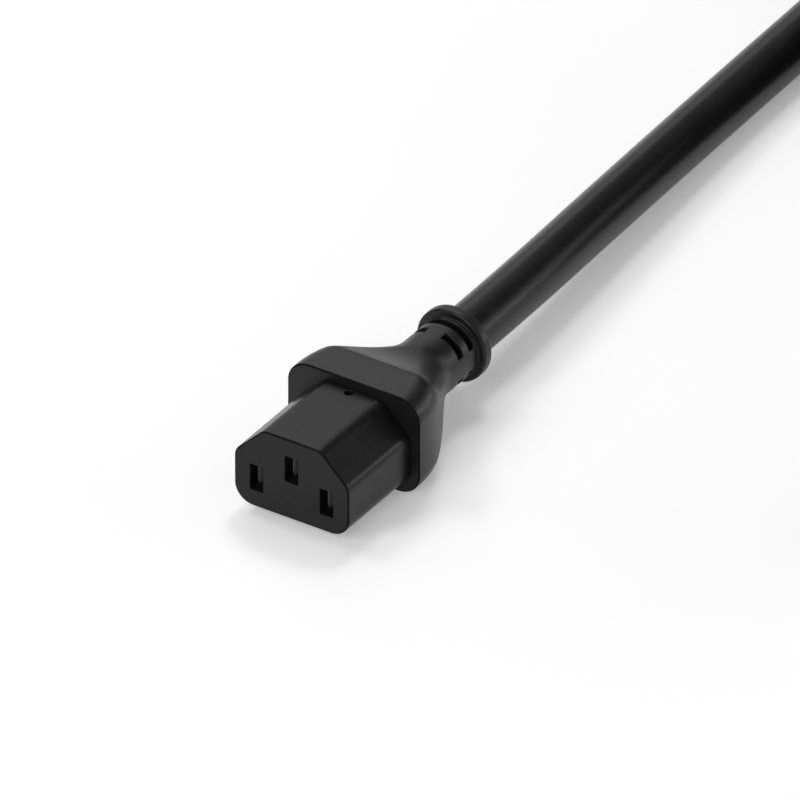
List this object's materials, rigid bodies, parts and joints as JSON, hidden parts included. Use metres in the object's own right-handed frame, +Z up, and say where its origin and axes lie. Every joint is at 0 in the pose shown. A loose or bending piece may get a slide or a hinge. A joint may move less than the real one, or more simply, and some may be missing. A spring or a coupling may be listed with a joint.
{
  "type": "power cord",
  "caption": "Heavy-duty power cord: moulded connector with contact slots and a slotted strain relief, its spare length in a round coil that ends in a shrouded plug.",
  "frame": {"origin": "under the middle of the connector, nose to collar, on the surface that it lies on", "axes": "+Y from the connector's mating nose to the cord, +X from line to neutral, +Z up from the surface"},
  "size_m": [0.1221, 0.2752, 0.0288],
  "materials": {
    "carrier_plastic": "fine satin grain",
    "boot_plastic": "fine satin grain",
    "cord_jacket": "smooth satin",
    "plated_brass": "bright plate",
    "copper": "bright",
    "line_insulation": "satin",
    "neutral_insulation": "satin",
    "earth_insulation": "satin"
  },
  "bodies": {
    "root": {"connector_nose": "carrier_plastic", "line_contact": "plated_brass", "neutral_contact": "plated_brass", "earth_contact": "plated_brass", "line_core": "line_insulation", "neutral_core": "neutral_insulation", "earth_core": "earth_insulation", "line_conductor": "copper", "neutral_conductor": "copper", "earth_conductor": "copper", "connector_boot": "boot_plastic", "plug_shroud": "carrier_plastic", "plug_line_pin": "plated_brass", "plug_neutral_pin": "plated_brass", "plug_earth_pin": "plated_brass", "plug_line_core": "line_insulation", "plug_neutral_core": "neutral_insulation", "plug_earth_core": "earth_insulation", "plug_line_conductor": "copper", "plug_neutral_conductor": "copper", "plug_earth_conductor": "copper", "plug_boot": "boot_plastic", "cord": "cord_jacket", "cord_coil": "cord_jacket", "cord_tail": "cord_jacket"}
  },
  "joints": []
}
